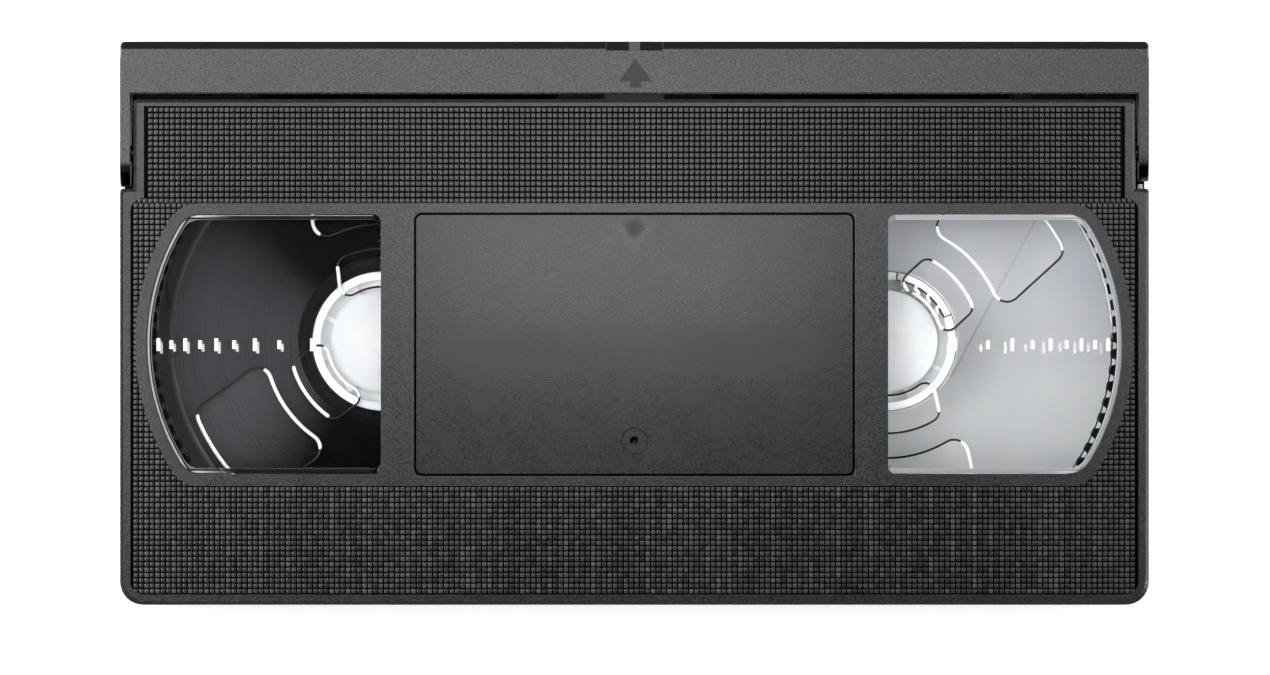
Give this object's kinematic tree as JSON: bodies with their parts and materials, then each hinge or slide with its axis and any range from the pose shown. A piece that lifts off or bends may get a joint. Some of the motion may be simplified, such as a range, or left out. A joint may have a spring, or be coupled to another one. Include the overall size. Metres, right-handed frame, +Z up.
{
  "type": "video tape cassette",
  "caption": "Flat two-reel video tape cassette with clear reel windows, a bare label recess, a hinged front lid, splined hubs and a brake that a pin under the shell releases.",
  "frame": {"origin": "middle of the closed cassette's bounding rectangle, on the surface that the shell lies on", "axes": "+X along the length, from the supply reel to the take-up reel; +Y from the spine to the lid; +Z up, to the side with the windows"},
  "size_m": [0.187, 0.1024, 0.025],
  "materials": {
    "shell": "spark-eroded satin grain with smooth borders",
    "lid": "fine spark-eroded grain",
    "clear_plastic": "clear polished styrene",
    "hub_plastic": "satin white",
    "tape": "wound film edge with fine rings",
    "leader_film": "clear polyester leader",
    "lever_plastic": "natural acetal",
    "felt": "pressed felt on a thin strip",
    "spring_steel": "drawn spring steel",
    "post_steel": "ground and polished",
    "screw_steel": "zinc plated"
  },
  "bodies": {
    "shell": {"lower_shell": "shell", "upper_shell": "shell", "window_left": "clear_plastic", "window_right": "clear_plastic", "lid_spring": "spring_steel", "leader_tape": "leader_film", "guide_roller_pin": "spring_steel", "left_guide_post": "post_steel", "right_guide_post": "post_steel", "tension_pad": "felt", "brake_spring_left": "spring_steel", "brake_spring_right": "spring_steel", "reel_spring": "spring_steel", "case_screws": "screw_steel"},
    "lid": {"front_lid": "lid"},
    "lid_lock": {"lid_lock": "lever_plastic"},
    "supply_reel": {"supply_hub": "hub_plastic", "supply_top_flange": "clear_plastic", "supply_leader_wrap": "leader_film", "supply_tape_pack": "tape", "supply_leader_clip": "hub_plastic"},
    "takeup_reel": {"takeup_hub": "hub_plastic", "takeup_top_flange": "clear_plastic", "takeup_leader_wrap": "leader_film", "takeup_leader_clip": "hub_plastic"},
    "guide_roller": {"guide_roller": "lever_plastic"},
    "brake_left": {"brake_lever_left": "lever_plastic"},
    "brake_right": {"brake_lever_right": "lever_plastic"},
    "brake_release": {"brake_release_lever": "lever_plastic"}
  },
  "joints": [
    {"name": "lid_hinge", "type": "hinge", "parent": "shell", "child": "lid", "pos_m": [0, 0.0309, 0.0199], "axis": [1, 0, 0], "range_deg": [0, 90], "stiffness_Nm_per_rad": 0.002, "springref_deg": -17.19},
    {"name": "lock_press", "type": "hinge", "parent": "shell", "child": "lid_lock", "pos_m": [0.0882, 0.013, 0.0189], "axis": [0, 0, 1], "range_deg": [0, 8], "stiffness_Nm_per_rad": 0.01, "springref_deg": -5.73},
    {"name": "supply_spin", "type": "hinge", "parent": "shell", "child": "supply_reel", "pos_m": [-0.046, -0.00325, 0.01], "axis": [0, 0, 1], "continuous": true},
    {"name": "takeup_spin", "type": "hinge", "parent": "shell", "child": "takeup_reel", "pos_m": [0.046, -0.00325, 0.01], "axis": [0, 0, 1], "continuous": true},
    {"name": "roller_spin", "type": "hinge", "parent": "shell", "child": "guide_roller", "pos_m": [-0.085, 0.0447, 0.011], "axis": [0, 0, 1], "continuous": true},
    {"name": "brake_release_press", "type": "hinge", "parent": "shell", "child": "brake_release", "pos_m": [0, 0.033, 0.007], "axis": [-1, 0, 0], "range_deg": [0, 14], "stiffness_Nm_per_rad": 0.004, "springref_deg": -5.73},
    {"name": "brake_left_turn", "type": "hinge", "parent": "shell", "child": "brake_left", "pos_m": [-0.0155, 0.035, 0.008], "axis": [0, 0, 1], "range_deg": [0, 10.5]},
    {"name": "brake_right_turn", "type": "hinge", "parent": "shell", "child": "brake_right", "pos_m": [0.0155, 0.035, 0.008], "axis": [0, 0, 1], "range_deg": [-10.5, 0]}
  ],
  "couplings": [
    {"joint": "takeup_spin", "follows": "supply_spin", "ratio": 2.9231},
    {"joint": "roller_spin", "follows": "supply_spin", "ratio": 13.571},
    {"joint": "brake_left_turn", "follows": "brake_release_press", "ratio": 0.75},
    {"joint": "brake_right_turn", "follows": "brake_release_press", "ratio": -0.75}
  ]
}
